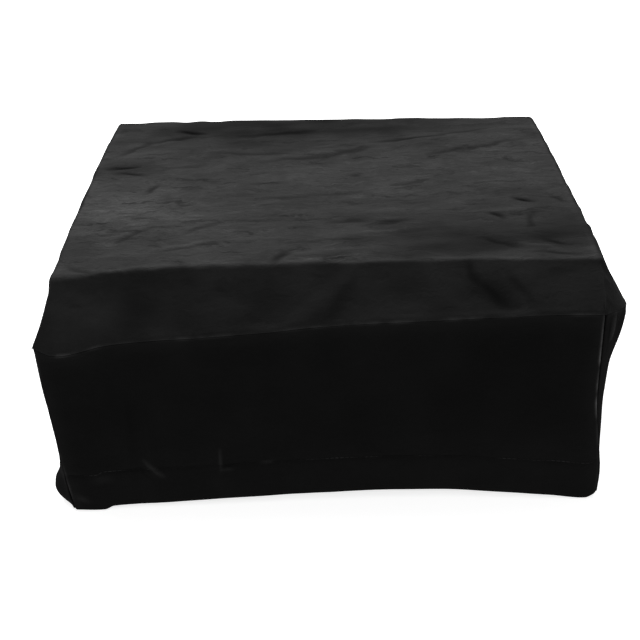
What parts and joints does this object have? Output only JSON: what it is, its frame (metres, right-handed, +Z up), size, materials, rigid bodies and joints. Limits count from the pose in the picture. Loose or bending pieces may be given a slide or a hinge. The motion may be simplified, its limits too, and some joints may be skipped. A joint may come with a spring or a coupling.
{
  "type": "turntable dust cover",
  "caption": "Hollow fitted velvet cover for a record turntable: a draped top panel seamed to hanging walls with a turned-up hem.",
  "frame": {"origin": "middle of the top panel's underside, where the cover bears on the turntable's closed lid; the walls hang below it", "axes": "+X along the width to the cover's right, +Y to its back, +Z up"},
  "size_m": [0.4862, 0.4095, 0.2126],
  "materials": {
    "velvet": "black cotton velvet with a short crushed pile, matt face on, with a soft grey sheen where the pile leans"
  },
  "bodies": {
    "root": {"top_panel": "velvet", "front_wall": "velvet", "right_wall": "velvet", "back_wall": "velvet", "left_wall": "velvet"}
  },
  "joints": []
}
